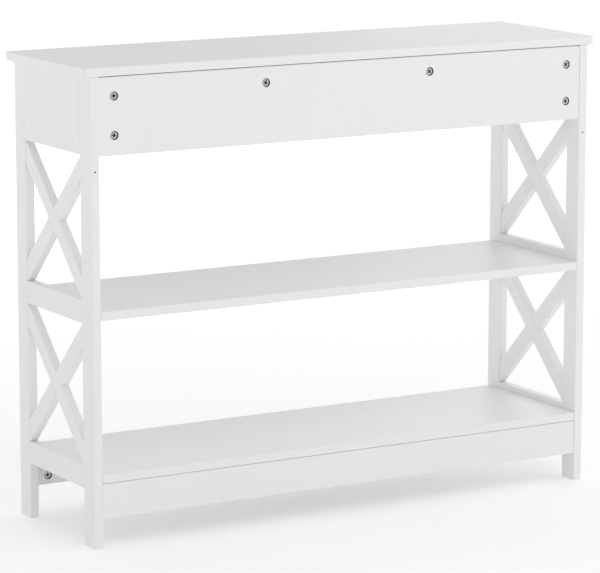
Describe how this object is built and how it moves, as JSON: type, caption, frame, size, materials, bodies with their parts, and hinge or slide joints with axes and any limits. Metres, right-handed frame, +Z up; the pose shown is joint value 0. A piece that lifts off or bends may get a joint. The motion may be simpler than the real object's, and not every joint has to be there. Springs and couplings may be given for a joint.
{
  "type": "console table",
  "caption": "Narrow console table with crossed side frames, open shelves and a shallow full-width drawer on roller runners.",
  "frame": {"origin": "on the floor, in the middle of the whole outline with the drawer closed and its knobs included", "axes": "+X along the length to the right as seen from the front, +Y from the front to the rear, +Z up"},
  "size_m": [1, 0.3084, 0.8],
  "materials": {
    "white_paint": "white satin paint on fibreboard",
    "hardboard": "white laminated hardboard",
    "knob_paint": "white satin paint on turned wood",
    "beech_wood": "raw fluted beech",
    "cam_zinc": "die-cast, nickel plated",
    "plated_steel": "zinc plated",
    "coated_steel": "white epoxy coating",
    "nylon": "natural nylon",
    "cap_plastic": "white press-in cap"
  },
  "bodies": {
    "table": {"tabletop": "white_paint", "left_front_stile": "white_paint", "left_rear_stile": "white_paint", "right_front_stile": "white_paint", "right_rear_stile": "white_paint", "left_side_panel": "white_paint", "right_side_panel": "white_paint", "left_middle_rail": "white_paint", "right_middle_rail": "white_paint", "left_bottom_rail": "white_paint", "right_bottom_rail": "white_paint", "left_upper_long_brace": "white_paint", "left_upper_front_brace": "white_paint", "left_upper_rear_brace": "white_paint", "left_lower_long_brace": "white_paint", "left_lower_front_brace": "white_paint", "left_lower_rear_brace": "white_paint", "right_upper_long_brace": "white_paint", "right_upper_front_brace": "white_paint", "right_upper_rear_brace": "white_paint", "right_lower_long_brace": "white_paint", "right_lower_front_brace": "white_paint", "right_lower_rear_brace": "white_paint", "left_frame_dowels": "beech_wood", "right_frame_dowels": "beech_wood", "rear_panel": "white_paint", "drawer_rail": "white_paint", "front_top_rail": "white_paint", "middle_shelf": "white_paint", "bottom_shelf": "white_paint", "front_apron": "white_paint", "rear_apron": "white_paint", "carcass_dowels": "beech_wood", "rear_panel_cams": "cam_zinc", "carcass_cams": "cam_zinc", "bottom_shelf_cams": "cam_zinc", "carcass_cam_bolts": "plated_steel", "confirmat_screws": "plated_steel", "apron_screws": "plated_steel", "screw_caps": "cap_plastic", "top_rail_screws": "plated_steel", "left_cabinet_runner": "coated_steel", "right_cabinet_runner": "coated_steel", "cabinet_runner_screws": "plated_steel", "front_roller_axles": "plated_steel"},
    "drawer": {"drawer_front": "white_paint", "drawer_left_side": "white_paint", "drawer_right_side": "white_paint", "drawer_back": "white_paint", "drawer_bottom": "hardboard", "drawer_cams": "cam_zinc", "drawer_cam_bolts": "plated_steel", "drawer_back_screws": "plated_steel", "knobs": "knob_paint", "knob_screws": "plated_steel", "left_drawer_runner": "coated_steel", "right_drawer_runner": "coated_steel", "rear_roller_axles": "plated_steel"},
    "front_rollers": {"front_rollers": "nylon"},
    "rear_rollers": {"rear_rollers": "nylon"}
  },
  "joints": [
    {"name": "drawer_slide", "type": "slide", "parent": "table", "child": "drawer", "axis": [0, -1, 0], "range_m": [0, 0.17]},
    {"name": "front_roller_spin", "type": "hinge", "parent": "table", "child": "front_rollers", "pos_m": [0, -0.09825, 0.6841], "axis": [1, 0, 0], "range_deg": [0, 1150]},
    {"name": "rear_roller_spin", "type": "hinge", "parent": "drawer", "child": "rear_rollers", "pos_m": [0, 0.09975, 0.684], "axis": [1, 0, 0], "range_deg": [0, 1150]}
  ],
  "couplings": [
    {"joint": "front_roller_spin", "follows": "drawer_slide", "rad_per_m": 117.65},
    {"joint": "rear_roller_spin", "follows": "drawer_slide", "rad_per_m": 117.65}
  ]
}
